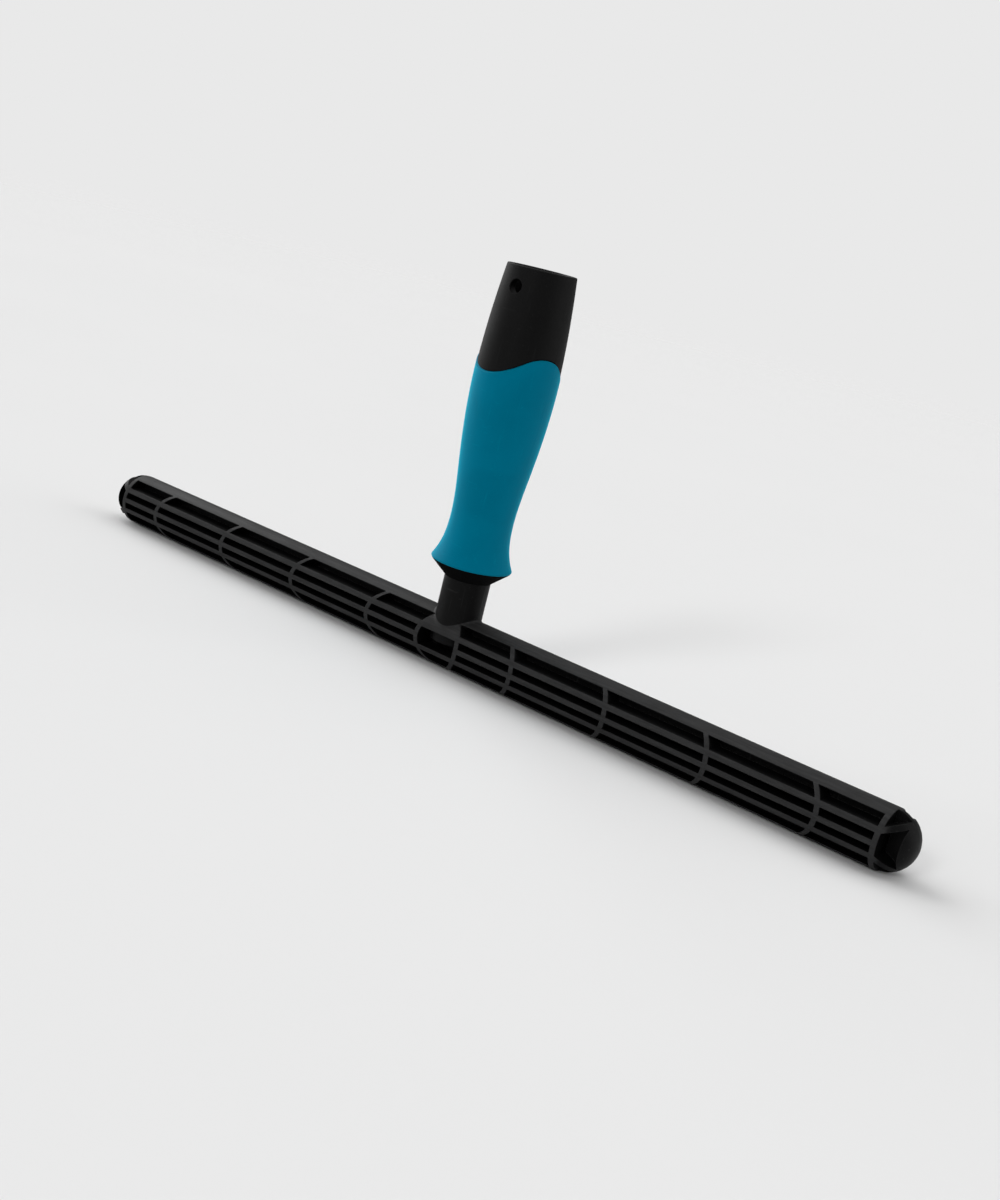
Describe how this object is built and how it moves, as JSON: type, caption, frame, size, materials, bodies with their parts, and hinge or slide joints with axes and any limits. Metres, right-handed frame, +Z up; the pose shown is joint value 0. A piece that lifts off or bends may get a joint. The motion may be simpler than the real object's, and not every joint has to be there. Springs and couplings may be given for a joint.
{
  "type": "window washer t-bar",
  "caption": "Window washer's T-bar: a round lattice bar that a washing sleeve slides over, on a soft-grip handle with a socket for an extension pole.",
  "frame": {"origin": "middle of the underside of the round bar, below the handle's axis", "axes": "+X along the bar, +Z up along the handle, -Y to the front, where the lock hole is"},
  "size_m": [0.45, 0.0368, 0.1774],
  "materials": {
    "black_moulding": "satin",
    "teal_soft_grip": "matte"
  },
  "bodies": {
    "root": {"sleeve_bar": "black_moulding", "handle_core": "black_moulding", "grip_sleeve": "teal_soft_grip"}
  },
  "joints": []
}
